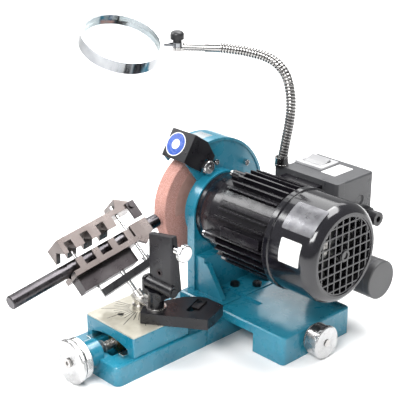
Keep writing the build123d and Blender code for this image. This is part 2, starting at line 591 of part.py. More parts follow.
with BuildPart() as hinge_knob:
    rod_z(pin.Z + 5.2, pin.Z + 9, pin.X, pin.Y, 5)
    rod_z(pin.Z + 9, pin.Z + 18, pin.X, pin.Y, 7.6)
    fillet(hinge_knob.edges().group_by(Axis.Z)[-1], 4.5)
    rod_z(pin.Z - 5, pin.Z + 6, pin.X, pin.Y, 2)
finish(hinge_knob, "hinge_knob")

# ---- bracket on the table -----------------------------------------------------------------
with BuildPart() as bracket_base:
    with BuildSketch(Plane.XY.offset(TABLE_TOP + 0.1)):
        Polygon((-28, -155), (31, -115), (27, -100), (19, -80), (-5, -80.5), (-13, -85), (-24, -97),
                (-33, -122), (-38, -128), (-37, -143), align=None)
    extrude(amount=11.9)
    fillet(bracket_base.edges().filter_by(Axis.Z), 1.4)
    with BuildSketch(Plane.XY.offset(TABLE_TOP)):
        with Locations(Location((-1.6, -100.7, 0), (0, 0, 110))):
            SlotOverall(32, 8)
    extrude(amount=13, mode=Mode.SUBTRACT)
    rod_z(TABLE_TOP + 8, 80, *COLUMN, COLUMN_R)
    block(-41, -12, -140, -128, 72, 78.5)
    block(-41, -37.5, -140, -128, 72, 92)
    fillet(bracket_base.edges().filter_by(Axis.X).group_by(Axis.Z)[-1], 4)
    rod_z(78.5, 81, *COLUMN, COLUMN_R + 1, mode=Mode.SUBTRACT)
    rod_x(-42, -37, BARREL_Y, BARREL_Z, BARREL_PIN_R, mode=Mode.SUBTRACT)
finish(bracket_base, "bracket_base")

with BuildPart() as slot_stop:
    with BuildSketch(Plane.XY.offset(TABLE_TOP + 12.1)):
        with Locations(Location((2.5, -99, 0), (0, 0, 20))):
            RectangleRounded(9, 20, 1.5)
    extrude(amount=2.5)
    rod_z(TABLE_TOP + 2, TABLE_TOP + 13, -0.9, -100.4, 3)
finish(slot_stop, "slot_stop")

with BuildPart() as knuckle:
    rod_z(TABLE_TOP + 0.1, TABLE_TOP + 5, *PIVOT, 8)
    rod_z(TABLE_TOP + 5, TABLE_TOP + 12, *PIVOT, 6)
    with BuildSketch(Plane.XY.offset(TABLE_TOP + 12)):
        with Locations(Location(((PIVOT[0] + COLUMN[0]) / 2, (PIVOT[1] + COLUMN[1]) / 2, 0), (0, 0, -4))):
            SlotOverall(46, 15)
        with Locations(COLUMN):
            Circle(10.8)
    extrude(amount=2)
    jaw_rod(ROD_S, ROD_H, 55, 68, 6.5)
    rod_z(TABLE_TOP + 11, TABLE_TOP + 15, *COLUMN, COLUMN_R, mode=Mode.SUBTRACT)
    jaw_rod(ROD_S, ROD_H, 50, 66.2, ROD_R + FIT, mode=Mode.SUBTRACT)
    block(-80, -30, -160, -100, TABLE_TOP - 9, TABLE_TOP + 0.1, mode=Mode.SUBTRACT)
finish(knuckle, "knuckle")

with BuildPart() as hinge_pin:
    rod_x(-41, 2.5, BARREL_Y, BARREL_Z, BARREL_PIN_R)
finish(hinge_pin, "hinge_pin")

with BuildPart() as post:
    with BuildSketch(Plane.YZ.offset(-37)):
        Polygon((-134, 86), (-134, 147), (-127.2, 147), (-121, 82), (-128, 80.5), align=None)
    extrude(amount=36)
    with BuildSketch(Plane.XZ.offset(138)):
        Polygon((-38, 138.8), (0, 146.2), (0, 152), (-38, 152), align=None)
    extrude(amount=-20, mode=Mode.SUBTRACT)
    fillet(post.edges().filter_by(Axis.Z), 2.5)
    fillet(post.faces().sort_by(Axis.Z)[-1].edges(), 1)
    rod_x(-37.2, 1.6, BARREL_Y, BARREL_Z, 6.3)
    rod_x(-38, 3, BARREL_Y, BARREL_Z, BARREL_PIN_R + FIT, mode=Mode.SUBTRACT)
    rod_x(-14, 0, -130, 131.5, 2.2 + FIT, mode=Mode.SUBTRACT)
    rod_y(-135, -127, -20, 100, 4.2, mode=Mode.SUBTRACT)
finish(post, "post")

with BuildPart() as post_screw:
    rod_y(-134.4, -127, -20, 100, 4.2)
    rod_y(-135, -131, -20, 100, 2.1, mode=Mode.SUBTRACT)
finish(post_screw, "post_screw")

with BuildPart() as thumb_screw:
    rod_x(-13, 9, -130, 131.5, 2.2)
    rod_x(1, 11, -130, 131.5, 4)
    rod_x(11, 16, -130, 131.5, 9)
    chamfer(thumb_screw.edges().group_by(Axis.X)[-1], 0.8)
finish(thumb_screw, "thumb_screw")

# ---- drill holder -------------------------------------------------------------------------
with BuildPart() as swing_rod:
    jaw_rod(ROD_S, ROD_H, 22, 66, ROD_R)
finish(swing_rod, "swing_rod")

with BuildPart() as lower_jaw:
    jaw_box(-133, -46, 6.5, 12.5, -JAW_HALF, JAW_HALF)
    for k in range(4):
        start = -124.0 + JAW_PITCH * k
        jaw_box(start, start + TOOTH_LOW, -4.3, 7, -JAW_HALF, JAW_HALF)
    with BuildSketch(across(-140)):
        Polygon((-15.6, -4.9), (15.6, -4.9), (0, 10.7), align=None)
    extrude(amount=100, mode=Mode.SUBTRACT)
    jaw_box(-47, -24, -7, 9, 10.5, JAW_HALF - 0.3)
    with BuildSketch(FACE.offset(10.5)):
        Polygon((-47, -8.5), (-24, -8.5), (-40, -19), (-47, -12.5), align=None)
    extrude(amount=JAW_HALF - 10.8)
    jaw_rod(PIN_S, PIN_H, -6, 14, PIN_R, mode=Mode.SUBTRACT)
    jaw_rod(BACK_PIN_S, -PIN_H, -6, 14, PIN_R, mode=Mode.SUBTRACT)
finish(lower_jaw, "lower_jaw")

with BuildPart() as jaw_carrier:
    jaw_box(-127, -54, 12.5, 29, -14, 2)
    jaw_rod(ROD_S, ROD_H, 22, 30, ROD_R, mode=Mode.SUBTRACT)
finish(jaw_carrier, "jaw_carrier")

with BuildPart() as guide_pins:
    jaw_rod(PIN_S, PIN_H, -36, 34, PIN_R)
    jaw_rod(PIN_S, PIN_H, 29.5, 34, 4.4)
    jaw_rod(BACK_PIN_S, -PIN_H, -36, 12.5, PIN_R)
    jaw_rod(-105, -12.2, 29, 34, 1.5)
finish(guide_pins, "guide_pins")

with BuildPart() as swing_bar:
    tilt = outward * sin(radians(BAR_ANGLE)) + along * cos(radians(BAR_ANGLE))
    with BuildSketch(Plane(origin=at(-73, 34, ROD_H), x_dir=tilt, z_dir=closing)):
        RectangleRounded(66, 14, 3)
    extrude(amount=8)
    jaw_rod(ROD_S, ROD_H, 33, 43, ROD_R, mode=Mode.SUBTRACT)
finish(swing_bar, "swing_bar")

with BuildPart() as upper_jaw:
    jaw_box(-130.5, -30, -31, -25, -JAW_HALF, JAW_HALF)
    jaw_box(-130.5, -124.8, -25.5, -13.5, -JAW_HALF, JAW_HALF)
    for k in range(3):
        start = -115.3 + JAW_PITCH * k
        jaw_box(start, start + TOOTH_HIGH, -25.5, -13.5, -JAW_HALF, JAW_HALF)
    with BuildSketch(FACE.offset(-JAW_HALF)):
        Polygon((-50, 30), (-44.6, 41), (-26, 27.5), (-26, 25), (-50, 25), align=None)
    extrude(amount=2 * JAW_HALF)
    with BuildSketch(across(-140)):
        Polygon((-17.1, -12.13), (17.1, -12.13), (0, -22), align=None)
    extrude(amount=98, mode=Mode.SUBTRACT)
    jaw_rod(PIN_S, PIN_H, -44, -12, PIN_R + FIT, mode=Mode.SUBTRACT)
    jaw_rod(BACK_PIN_S, -PIN_H, -44, -12, PIN_R + FIT, mode=Mode.SUBTRACT)
finish(upper_jaw, "upper_jaw")

with BuildPart() as lip_stop:
    jaw_box(-37, -26, -30, -10, JAW_HALF, JAW_HALF + 2.5)
    with Locations(Plane(origin=at(-31.5, -25, JAW_HALF + 2.5), x_dir=along, z_dir=outward).location):
        Cylinder(3.2, 2, align=LOW)
finish(lip_stop, "lip_stop")

POINT_LENGTH = 4.0
with BuildPart() as drill_bit:
    with BuildSketch(across(-DRILL_LENGTH)):
        Circle(DRILL_R)
    extrude(amount=DRILL_LENGTH - POINT_LENGTH - TIP_GAP)
    chamfer(drill_bit.edges().filter_by(GeomType.CIRCLE).sort_by(Axis.Y)[0], 0.8)
    with BuildSketch(across(-POINT_LENGTH - TIP_GAP)):
        Circle(DRILL_R)
    with BuildSketch(across(-TIP_GAP)):
        Circle(0.6)
    loft()
finish(drill_bit, "drill_bit")
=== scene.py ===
"""Looks for the bench drill bit sharpener. Metres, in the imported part's frame."""

from math import cos, pi, radians, sin

import bpy
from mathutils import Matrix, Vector


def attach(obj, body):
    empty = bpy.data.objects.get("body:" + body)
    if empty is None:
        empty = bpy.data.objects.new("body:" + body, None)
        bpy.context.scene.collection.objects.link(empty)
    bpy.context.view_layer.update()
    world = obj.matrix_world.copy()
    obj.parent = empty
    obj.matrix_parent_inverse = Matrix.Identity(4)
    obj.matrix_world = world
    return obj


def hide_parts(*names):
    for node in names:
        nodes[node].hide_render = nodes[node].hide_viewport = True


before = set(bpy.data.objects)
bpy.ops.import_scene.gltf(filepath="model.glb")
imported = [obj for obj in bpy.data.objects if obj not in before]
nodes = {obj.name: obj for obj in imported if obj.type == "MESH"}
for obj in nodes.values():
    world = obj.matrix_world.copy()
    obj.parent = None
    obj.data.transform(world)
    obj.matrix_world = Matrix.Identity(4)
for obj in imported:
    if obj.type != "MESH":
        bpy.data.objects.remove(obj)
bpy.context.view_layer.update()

SHAFT = 46.5  # how far the row's origin is from the shaft frame's, along X, mm
AXIS_Z = 121.0

# centres of round parts in the shaft frame, mm: the two coordinates across each one's own axis
TABLE_KNOB = (-46.5, 24)
CROSS_FEED = (-8, 18.5)
GUARD_KNOB = (-17.9, 173.0)
POST_CLAMP = (-130, 131.5)
CAPACITOR = (75, 65)
KNOCKOUT = (88, 142)
TAPPED_HOLE, TAPPED_R = (-58, -156), 3.4
PIVOT, PIVOT_R = (-55, -132), 11

COVER_R, GUARD_R = 54.5, 78.3  # outer faces that labels are bent round, mm
SIGN_A, SIGN_B = 22, 16.5  # the sign's centre on the spark guard's flap, mm


def row(x, y, z):
    """A point of the shaft frame, in millimetres, as a point of the row's frame in metres."""
    return Vector((x + SHAFT, y, z)) / 1000


# ---- materials --------------------------------------------------------------------------------
class Shader:
    """One node material under construction."""

    def __init__(self, name, rough, metal=0.0, coat=0.0):
        self.mat = bpy.data.materials.new(name)
        self.mat.use_nodes = True
        self.tree = self.mat.node_tree
        self.bsdf = self.tree.nodes["Principled BSDF"]
        self.bsdf.inputs["Roughness"].default_value = rough
        self.bsdf.inputs["Metallic"].default_value = metal
        self.bsdf.inputs["Coat Weight"].default_value = coat
        self.bsdf.inputs["Coat Roughness"].default_value = 0.12
        self.coord = self.node("ShaderNodeTexCoord").outputs["Object"]
        self.normal = None

    def node(self, kind, **settings):
        made = self.tree.nodes.new(kind)
        for key, value in settings.items():
            setattr(made, key, value)
        return made

    def link(self, a, b):
        self.tree.links.new(a, b)

    def noise(self, scale, detail=4.0, stretch=(1, 1, 1), rough=0.55):
        mapping = self.node("ShaderNodeMapping")
        mapping.inputs["Scale"].default_value = stretch
        self.link(self.coord, mapping.inputs["Vector"])
        noise = self.node("ShaderNodeTexNoise")
        noise.inputs["Scale"].default_value = scale
        noise.inputs["Detail"].default_value = detail
        noise.inputs["Roughness"].default_value = rough
        self.link(mapping.outputs["Vector"], noise.inputs["Vector"])
        return noise.outputs["Fac"]

    def ramp(self, value, stops):
        ramp = self.node("ShaderNodeValToRGB")
        while len(ramp.color_ramp.elements) < len(stops):
            ramp.color_ramp.elements.new(0.5)
        for element, (place, colour) in zip(ramp.color_ramp.elements, stops):
            element.position = place
            element.color = (*colour, 1)
        self.link(value, ramp.inputs["Fac"])
        return ramp.outputs["Color"]

    def spread(self, value, low, high):
        """Sends a 0 to 1 value to the range low to high."""
        out = self.node("ShaderNodeMapRange")
        out.inputs["From Min"].default_value = 0.3
        out.inputs["From Max"].default_value = 0.7
        out.inputs["To Min"].default_value = low
        out.inputs["To Max"].default_value = high
        self.link(value, out.inputs["Value"])
        return out.outputs["Result"]

    def edges(self, radius):
        """Rounds the look of sharp edges."""
        bevel = self.node("ShaderNodeBevel", samples=4)
        bevel.inputs["Radius"].default_value = radius
        self.normal = bevel.outputs["Normal"]
        self.link(self.normal, self.bsdf.inputs["Normal"])

    def bump(self, value, strength, depth):
        bump = self.node("ShaderNodeBump")
        bump.inputs["Strength"].default_value = strength
        bump.inputs["Distance"].default_value = depth
        self.link(value, bump.inputs["Height"])
        if self.normal is not None:
            self.link(self.normal, bump.inputs["Normal"])
        self.normal = bump.outputs["Normal"]
        self.link(self.normal, self.bsdf.inputs["Normal"])

    def math(self, kind, a, b=None):
        made = self.node("ShaderNodeMath", operation=kind)
        for value, socket in ((a, made.inputs[0]), (b, made.inputs[1])):
            if value is None:
                continue
            if isinstance(value, (int, float)):
                socket.default_value = value
            else:
                self.link(value, socket)
        return made.outputs[0]

    def axes(self):
        split = self.node("ShaderNodeSeparateXYZ")
        self.link(self.coord, split.inputs[0])
        return split.outputs


def paint(name, dark, light, rough=0.32, coat=0.35, peel=0.25, edge=0.0006, shine=0.5):
    """Sprayed enamel: slow colour drift, orange peel and uneven gloss."""
    s = Shader(name, rough, coat=coat)
    colour = s.ramp(s.noise(26, 5), ((0.32, dark), (0.68, light)))
    s.link(colour, s.bsdf.inputs["Base Color"])
    s.link(s.spread(s.noise(60, 6), rough * 0.75, rough * 1.5), s.bsdf.inputs["Roughness"])
    s.bsdf.inputs["Specular IOR Level"].default_value = shine
    s.edges(edge)
    s.bump(s.noise(700, 2), peel, 0.00012)
    return s.mat


def metal(name, dark, light, rough=0.25, stretch=(1, 1, 1), grain=900, lines=0.15, edge=0.0004):
    """Machined metal: tool lines along the stretched way, tarnish and handling marks."""
    s = Shader(name, rough, metal=1.0)
    s.link(s.ramp(s.noise(45, 6), ((0.3, dark), (0.7, light))), s.bsdf.inputs["Base Color"])
    s.link(s.spread(s.noise(90, 6, rough=0.65), rough * 0.65, rough * 1.45), s.bsdf.inputs["Roughness"])
    s.edges(edge)
    s.bump(s.noise(grain, 3, stretch), lines, 0.00008)
    return s.mat


def turned(name, dark, light, centre, plane, rough=0.22, pitch=0.00045):
    """Metal faced on a lathe: fine rings about a centre in the plane of two axes."""
    s = Shader(name, rough, metal=1.0)
    s.link(s.ramp(s.noise(60, 5), ((0.3, dark), (0.7, light))), s.bsdf.inputs["Base Color"])
    s.link(s.spread(s.noise(110, 6), rough * 0.7, rough * 1.5), s.bsdf.inputs["Roughness"])
    axes = s.axes()
    a = s.math("SUBTRACT", axes[plane[0]], centre[0])
    b = s.math("SUBTRACT", axes[plane[1]], centre[1])
    reach = s.math("SQRT", s.math("ADD", s.math("MULTIPLY", a, a), s.math("MULTIPLY", b, b)))
    rings = s.math("SINE", s.math("MULTIPLY", reach, 2 * pi / pitch))
    s.edges(0.0004)
    s.bump(rings, 0.22, 0.00005)
    return s.mat


def threaded(name, dark, light, axis, pitch):
    """Steel rod with a thread's ridges along one axis."""
    s = Shader(name, 0.3, metal=1.0)
    s.link(s.ramp(s.noise(80, 5), ((0.3, dark), (0.7, light))), s.bsdf.inputs["Base Color"])
    ridges = s.math("SINE", s.math("MULTIPLY", s.axes()[axis], 2 * pi / pitch))
    s.link(s.spread(s.noise(120, 4), 0.22, 0.42), s.bsdf.inputs["Roughness"])
    s.bump(ridges, 0.9, 0.0006)
    return s.mat


def plastic(name, dark, light, rough=0.4, texture=0.3, grain=1300, edge=0.0006, coat=0.0):
    """Moulded plastic: fine spark-eroded texture and faint flow marks."""
    s = Shader(name, rough, coat=coat)
    s.link(s.ramp(s.noise(35, 5), ((0.3, dark), (0.7, light))), s.bsdf.inputs["Base Color"])
    s.link(s.spread(s.noise(70, 5), rough * 0.8, rough * 1.3), s.bsdf.inputs["Roughness"])
    s.edges(edge)
    s.bump(s.noise(grain, 2), texture, 0.0001)
    return s.mat


def grit(name):
    """Vitrified abrasive: grains of three tones with open pores."""
    s = Shader(name, 0.9)
    tones = s.noise(1500, 3, rough=0.8)
    s.link(s.ramp(tones, ((0.34, (0.30, 0.11, 0.09)), (0.5, (0.56, 0.28, 0.23)), (0.68, (0.80, 0.55, 0.50)))),
           s.bsdf.inputs["Base Color"])
    cells = s.node("ShaderNodeTexVoronoi")
    cells.inputs["Scale"].default_value = 1400
    s.link(s.coord, cells.inputs["Vector"])
    s.edges(0.0007)
    s.bump(cells.outputs["Distance"], 0.7, 0.0003)
    return s.mat


def glass(name):
    """Clear lens glass with a faint smear in its gloss."""
    s = Shader(name, 0.02)
    s.bsdf.inputs["Transmission Weight"].default_value = 1.0
    s.bsdf.inputs["IOR"].default_value = 1.1
    s.link(s.ramp(s.noise(30, 3), ((0.3, (0.80, 0.90, 0.90)), (0.7, (0.93, 0.98, 0.98)))),
           s.bsdf.inputs["Base Color"])
    s.link(s.spread(s.noise(40, 4), 0.0, 0.03), s.bsdf.inputs["Roughness"])
    return s.mat


def sticker(name, dark, light, rough=0.3, metallic=0.0):
    """A blank printed label: slight tone drift, soft gloss, and the lift of its edge."""
    s = Shader(name, rough, metal=metallic, coat=0.3)
    s.link(s.ramp(s.noise(90, 4), ((0.3, dark), (0.7, light))), s.bsdf.inputs["Base Color"])
    s.link(s.spread(s.noise(160, 4), rough * 0.8, rough * 1.3), s.bsdf.inputs["Roughness"])
    s.bump(s.noise(240, 3), 0.12, 0.0002)
    return s.mat


TEAL = paint("teal_enamel", (0.008, 0.165, 0.255), (0.016, 0.215, 0.315), rough=0.26, coat=0.5, peel=0.45,
             edge=0.0008)
BLACK_CAST = paint("black_cast_enamel", (0.004, 0.0035, 0.0055), (0.010, 0.0085, 0.012), rough=0.24, coat=0.3,
                   peel=0.5, edge=0.0008, shine=0.3)
BLACK_STEEL = paint("blackened_steel", (0.004, 0.004, 0.0055), (0.011, 0.0105, 0.0135), rough=0.28, coat=0.1,
                    peel=0.35, edge=0.0007, shine=0.3)
COVER = plastic("black_cover", (0.004, 0.004, 0.006), (0.008, 0.0075, 0.011), rough=0.13, texture=0.10,
                grain=500, edge=0.0009, coat=0.35)
GREY = plastic("grey_box", (0.045, 0.046, 0.050), (0.068, 0.069, 0.073), rough=0.32, texture=0.45)
CAP_GREY = plastic("capacitor_grey", (0.045, 0.045, 0.048), (0.065, 0.065, 0.068), rough=0.36, texture=0.2)
BLACK_PLASTIC = plastic("black_plastic", (0.010, 0.010, 0.011), (0.022, 0.022, 0.024), rough=0.3, texture=0.2)
ROCKER = plastic("rocker_grey", (0.16, 0.16, 0.165), (0.24, 0.24, 0.245), rough=0.22, texture=0.1, coat=0.4)
BEZEL = plastic("bezel_grey", (0.36, 0.36, 0.37), (0.48, 0.48, 0.49), rough=0.3, texture=0.15, coat=0.3)
STEEL = metal("bare_steel", (0.50, 0.48, 0.46), (0.72, 0.70, 0.67), 0.28, stretch=(4, 0.3, 4), lines=0.25)
WAYS = metal("ground_way", (0.56, 0.54, 0.51), (0.78, 0.76, 0.72), 0.22, stretch=(6, 0.15, 6), lines=0.3)
CHROME = metal("chrome", (0.52, 0.52, 0.53), (0.70, 0.70, 0.70), 0.09, lines=0.04, grain=300)
NECK = metal("neck_chrome", (0.34, 0.335, 0.33), (0.50, 0.49, 0.48), 0.14, lines=0.08)
# darker metal for the faces in the grooves between turns of the strip: painted shade in the grooves
NECK_GROOVE_SHADE = metal("neck_groove_painted_shade", (0.05, 0.048, 0.046), (0.10, 0.096, 0.092), 0.35, lines=0.1)
RING = metal("ring_chrome", (0.26, 0.27, 0.285), (0.42, 0.43, 0.445), 0.13, stretch=(1, 1, 9), lines=0.1)
BRASS = metal("bronze", (0.48, 0.34, 0.14), (0.70, 0.52, 0.25), 0.3, lines=0.2)
JAW = metal("ground_jaw", (0.115, 0.097, 0.092), (0.180, 0.156, 0.148), 0.30, stretch=(0.6, 6, 6), lines=0.35)
DARK_STEEL = metal("oiled_steel", (0.035, 0.030, 0.032), (0.085, 0.078, 0.08), 0.33, stretch=(6, 0.4, 6),
                   lines=0.4)
DRILL = metal("drill_steel", (0.05, 0.046, 0.05), (0.11, 0.104, 0.11), 0.27, stretch=(6, 0.3, 6), lines=0.25)
IRON = metal("core_iron", (0.16, 0.15, 0.15), (0.28, 0.27, 0.27), 0.5, stretch=(30, 1, 1), lines=0.5)
COPPER = metal("winding", (0.40, 0.15, 0.06), (0.62, 0.27, 0.12), 0.35, stretch=(1, 8, 8), lines=0.7)
FAN = metal("cast_aluminium", (0.60, 0.60, 0.60), (0.76, 0.76, 0.75), 0.4, lines=0.35)
FRONT_KNOB = turned("front_knob", (0.46, 0.46, 0.465), (0.64, 0.64, 0.64), (0.0, 0.024), (0, 2))
SIDE_KNOB = turned("side_knob", (0.46, 0.46, 0.465), (0.64, 0.64, 0.64), (-0.008, 0.0185), (1, 2))
Y_THREAD = threaded("feed_thread", (0.42, 0.41, 0.40), (0.66, 0.64, 0.62), 1, 0.0015)
X_THREAD = threaded("cross_thread", (0.42, 0.41, 0.40), (0.66, 0.64, 0.62), 0, 0.00125)
GRIT = grit("abrasive")
GLASS = glass("lens_glass")
SILVER_LABEL = sticker("silver_label", (0.10, 0.10, 0.11), (0.20, 0.20, 0.21), 0.3, 0.7)
WHITE_LABEL = sticker("white_label", (0.72, 0.72, 0.72), (0.86, 0.86, 0.86))
PALE_LABEL = sticker("pale_label", (0.26, 0.28, 0.29), (0.38, 0.40, 0.41))
WHEEL_LABEL = sticker("wheel_label", (0.42, 0.24, 0.20), (0.55, 0.33, 0.28), 0.6)
TABLE = sticker("table_face", (0.50, 0.47, 0.385), (0.62, 0.59, 0.50), 0.36, 0.45)
SIGN_BLUE = sticker("sign_blue", (0.004, 0.05, 0.32), (0.008, 0.075, 0.40), 0.25)
SIGN_WHITE = sticker("sign_white", (0.78, 0.79, 0.80), (0.88, 0.89, 0.90), 0.25)
DARK_PLATE = sticker("dark_plate", (0.05, 0.05, 0.06), (0.09, 0.09, 0.10), 0.35)
# dark enamel for the engraved lines on the table, and for the disc in the tapped hole, which is painted shade
ENGRAVING_AND_HOLE_SHADE = paint("engraving_and_painted_hole_shade", (0.02, 0.018, 0.016), (0.05, 0.045, 0.04), rough=0.6, coat=0.0)

DRESS = (
    (TEAL, "bed_casting table_block motor_base guard_cover wheel_guard"),
    (BLACK_CAST, "front_shield motor_housing rear_shield"),
    (COVER, "fan_cover"),
    (BLACK_STEEL, "hinge_pin spark_guard bracket_base post swing_bar cross_dial cover_screws"),
    (GREY, "box_back box_lid"),
    (CAP_GREY, "capacitor"),
    (BLACK_PLASTIC, "cable_gland hinge_knob"),
    (ROCKER, "switch_rocker"),
    (BEZEL, "switch_bezel"),
    (WAYS, "bed_ways"),
    (STEEL, "spindle_nut wheel_flanges rotor_shaft bearings knuckle"),
    (BRASS, "cross_nut table_nut"),
    (CHROME, "cap_screws guard_knob thumb_screw swing_rod guide_pins gooseneck"),
    (NECK, "magnifier_stem neck_foot"),
    (RING, "magnifier_ring"),
    (JAW, "lower_jaw upper_jaw"),
    (DARK_STEEL, "base_bolts jaw_carrier lip_stop slot_stop post_screw capacitor_clip"),
    (DRILL, "drill_bit"),
    (IRON, "stator_core rotor_core"),
    (COPPER, "stator_windings"),
    (FAN, "cooling_fan"),
    (FRONT_KNOB, "table_knob"),
    (SIDE_KNOB, "cross_knob"),
    (TABLE, "table_plate"),
    (Y_THREAD, "table_screw"),
    (X_THREAD, "cross_screw"),
    (GRIT, "grinding_wheel"),
    (GLASS, "lens"),
)
for look, names in DRESS:
    for name in names.split():
        nodes[name].data.materials.clear()
        nodes[name].data.materials.append(look)


# ---- pieces that only Blender has -------------------------------------------------------------
def piece(name, verts, faces, look, body, smooth=True):
    """A mesh piece that rides on a body."""
    mesh = bpy.data.meshes.new(name)
    mesh.from_pydata([tuple(v) for v in verts], [], faces)
    mesh.update()
    mesh.materials.append(look)
    made = bpy.data.objects.new(name, mesh)
    bpy.context.scene.collection.objects.link(made)
    if smooth:
        mesh.shade_smooth()
        mesh.set_sharp_from_angle(angle=radians(35))
    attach(made, body)
    return made


def slab(outline, top, bottom):
    """Vertices and faces of a plate: an outline mapped to its top and to its bottom."""
    n = len(outline)
    verts = [top(u, v) for u, v in outline] + [bottom(u, v) for u, v in outline]
    faces = [tuple(range(n)), tuple(range(2 * n - 1, n - 1, -1))]
    faces += [(k, k + n, (k + 1) % n + n, (k + 1) % n) for k in range(n)]
    return verts, faces


def rounded(u0, u1, v0, v1, r, steps=5):
    """The outline of a rectangle with round corners."""
    points = []
    corners = ((u1 - r, v1 - r), (u0 + r, v1 - r), (u0 + r, v0 + r), (u1 - r, v0 + r))
    for (cu, cv), start in zip(corners, (0, 90, 180, 270)):
        for k in range(steps + 1):
            a = radians(start + 90 * k / steps)
            points.append((cu + r * cos(a), cv + r * sin(a)))
    return points


def circle(r, steps):
    """The outline of a circle about the origin."""
    return [(r * cos(2 * pi * k / steps), r * sin(2 * pi * k / steps)) for k in range(steps)]


def on_shaft(x, r, angle):
    """A point at radius r and an angle round the shaft."""
    return row(x, r * cos(radians(angle)), AXIS_Z + r * sin(radians(angle)))


def wrapped(name, x0, x1, a0, a1, r, lift, look, body, cols=24):
    """A blank label bent round the shaft's axis."""
    verts, faces = [], []
    for level in (r + lift, r - 0.15):
        for k in range(cols + 1):
            inset = 0.9 if k in (0, cols) else 0.0
            angle = a0 + (a1 - a0) * k / cols
            verts += [on_shaft(x0 + inset, level, angle), on_shaft(x1 - inset, level, angle)]
    half = 2 * (cols + 1)
    for k in range(cols):
        a = 2 * k
        faces.append((a, a + 2, a + 3, a + 1))
        faces.append((a, half + a, half + a + 2, a + 2))
        faces.append((a + 3, half + a + 3, half + a + 1, a + 1))
    faces.append((0, 1, half + 1, half))
    end = 2 * cols
    faces.append((end + 1, end, half + end, half + end + 1))
    return piece(name, verts, faces, look, body)


def ring_of_ridges(name, centre, axis, r, low, high, count, look, body, height=0.28):
    """A knurled band: teeth round an axis, closed on its inner side."""
    verts, faces = [], []
    steps = 2 * count
    for inner in (False, True):
        for along in (low, high):
            for k in range(steps):
                a = 2 * pi * k / steps
                reach = r - 0.4 if inner else r + (height if k % 2 else 0.0)
                p, q = reach * cos(a), reach * sin(a)
                if axis == "x":
                    verts.append(row(along, centre[0] + p, centre[1] + q))
                else:
                    verts.append(row(centre[0] + p, along, centre[1] + q))
    for k in range(steps):
        m = (k + 1) % steps
        a, b, c, d = k, m, steps + m, steps + k
        faces.append((a, b, c, d))
        faces.append((2 * steps + d, 2 * steps + c, 2 * steps + b, 2 * steps + a))
        faces.append((a, 2 * steps + a, 2 * steps + b, b))
        faces.append((c, 2 * steps + c, 2 * steps + d, d))
    return piece(name, verts, faces, look, body, smooth=False)


ring_of_ridges("front_knob_knurl", TABLE_KNOB, "y", 23.45, -233.4, -230.1, 110, FRONT_KNOB, "table_feed")
ring_of_ridges("front_knob_rear_knurl", TABLE_KNOB, "y", 21.95, -226.6, -220.6, 104, FRONT_KNOB, "table_feed")
ring_of_ridges("side_knob_knurl", CROSS_FEED, "x", 18.1, 97.6, 100.9, 90, SIDE_KNOB, "cross_feed",
               height=0.25)
ring_of_ridges("guard_knob_knurl", GUARD_KNOB, "x", 7.45, -69.4, -66.0, 40, CHROME, "guard_knob")
ring_of_ridges("clamp_knurl", POST_CLAMP, "x", 8.95, 11.9, 15.0, 46, CHROME, "post_clamp")

wrapped("silver_label", 66, 106, 110, 146, COVER_R, 0.12, SILVER_LABEL, "carriage")
wrapped("white_label", 71, 98, 155, 182, COVER_R, 0.12, WHITE_LABEL, "carriage")
wrapped("guard_label", -107, -87, 84, 110, GUARD_R, 0.0, PALE_LABEL, "carriage")

sector_steps = 26
outline = [(radians(118 + 70 * k / sector_steps), 46.5) for k in range(sector_steps + 1)]
outline += [(radians(188 - 70 * k / sector_steps), 27.0) for k in range(sector_steps + 1)]
verts, faces = slab(outline, lambda a, r: row(-90.85, r * cos(a), AXIS_Z + r * sin(a)),
                    lambda a, r: row(-91.15, r * cos(a), AXIS_Z + r * sin(a)))
piece("wheel_label", verts, faces, WHEEL_LABEL, "rotor")

verts, faces = slab(rounded(22, 42, 66, 98, 1.5), lambda u, v: row(u, v, 170.35),
                    lambda u, v: row(u, v, 169.9))
piece("box_plate", verts, faces, WHITE_LABEL, "carriage")

# a dark disc a little below the table's face inside the tapped hole: painted shade in the hole
verts, faces = slab(circle(TAPPED_R, 40), lambda u, v: row(TAPPED_HOLE[0] + u, TAPPED_HOLE[1] + v, 44.75),
                    lambda u, v: row(TAPPED_HOLE[0] + u, TAPPED_HOLE[1] + v, 44.4))
piece("tapped_hole_painted_shade", verts, faces, ENGRAVING_AND_HOLE_SHADE, "table")

# the sign on the spark guard's flap, in the flap's own plane
fold = Vector((0.0, -17.9, -27.7)).normalized()
flap_out = Vector((-1, 0, 0)).cross(fold)


def on_flap(a, b, lift):
    """A point on the flap: a away from the motor, b down the slope, lift out of its face."""
    origin = Vector((-73.3, -31.6, 212.2)) + Vector((-1, 0, 0)) * a + fold * b + flap_out * lift
    return row(*origin)


DISC_STEPS = 64


def disc(name, r, low, high, look, inner=0.0):
    """A round plate or ring on the flap."""
    if inner == 0.0:
        verts, faces = slab(circle(r, DISC_STEPS), lambda u, v: on_flap(SIGN_A + u, SIGN_B + v, high),
                            lambda u, v: on_flap(SIGN_A + u, SIGN_B + v, low))
        return piece(name, verts, faces, look, "spark_guard")
    verts, faces = [], []
    for reach, lift in ((r, low), (r, high), (inner, high), (inner, low)):
        verts += [on_flap(SIGN_A + u, SIGN_B + v, lift) for u, v in circle(reach, DISC_STEPS)]
    for k in range(DISC_STEPS):
        m = (k + 1) % DISC_STEPS
        for level in range(4):
            a, b = DISC_STEPS * level, DISC_STEPS * ((level + 1) % 4)
            faces.append((a + k, a + m, b + m, b + k))
    return piece(name, verts, faces, look, "spark_guard")


disc("sign_disc", 13.4, -0.1, 0.22, SIGN_BLUE)
disc("sign_rim", 13.6, 0.1, 0.30, SIGN_WHITE, inner=12.7)
disc("sign_face", 5.6, 0.1, 0.30, SIGN_WHITE)


